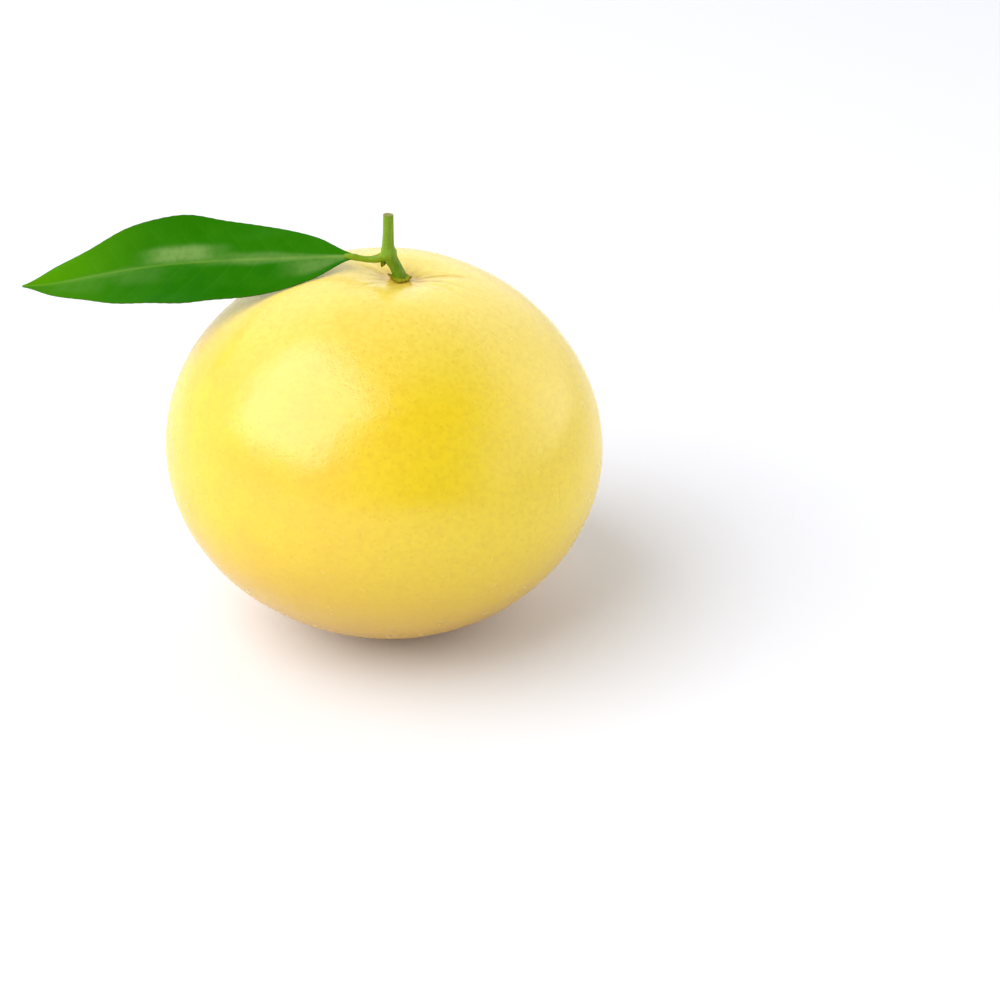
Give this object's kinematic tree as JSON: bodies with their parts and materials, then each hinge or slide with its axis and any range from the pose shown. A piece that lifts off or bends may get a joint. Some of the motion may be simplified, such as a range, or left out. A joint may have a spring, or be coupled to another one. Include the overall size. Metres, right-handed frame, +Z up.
{
  "type": "grapefruit",
  "caption": "Whole grapefruit resting on a small flat spot, picked with its calyx, a bent stalk ending in a cut twig, and a broad leaf on its petiole.",
  "frame": {"origin": "centre of the flat spot that the fruit rests on", "axes": "+Z up through the fruit to its stem end, which leans a little towards +X; -X along the leaf; -Y towards the leaf's lower edge"},
  "size_m": [0.1423, 0.1082, 0.1067],
  "materials": {
    "peel": "waxy yellow rind with fine oil glands, satin",
    "calyx": "dry olive green, browned lobe tips, matte",
    "bark": "smooth young green bark, satin",
    "petiole": "yellow green leaf stalk, satin",
    "bud": "brownish green bud scales, matte",
    "leaf": "waxy dark green, glossy above and paler below"
  },
  "bodies": {
    "root": {"fruit": "peel", "calyx": "calyx", "stem": "bark", "petiole": "petiole", "axillary_bud": "bud", "leaf_blade": "leaf"}
  },
  "joints": []
}
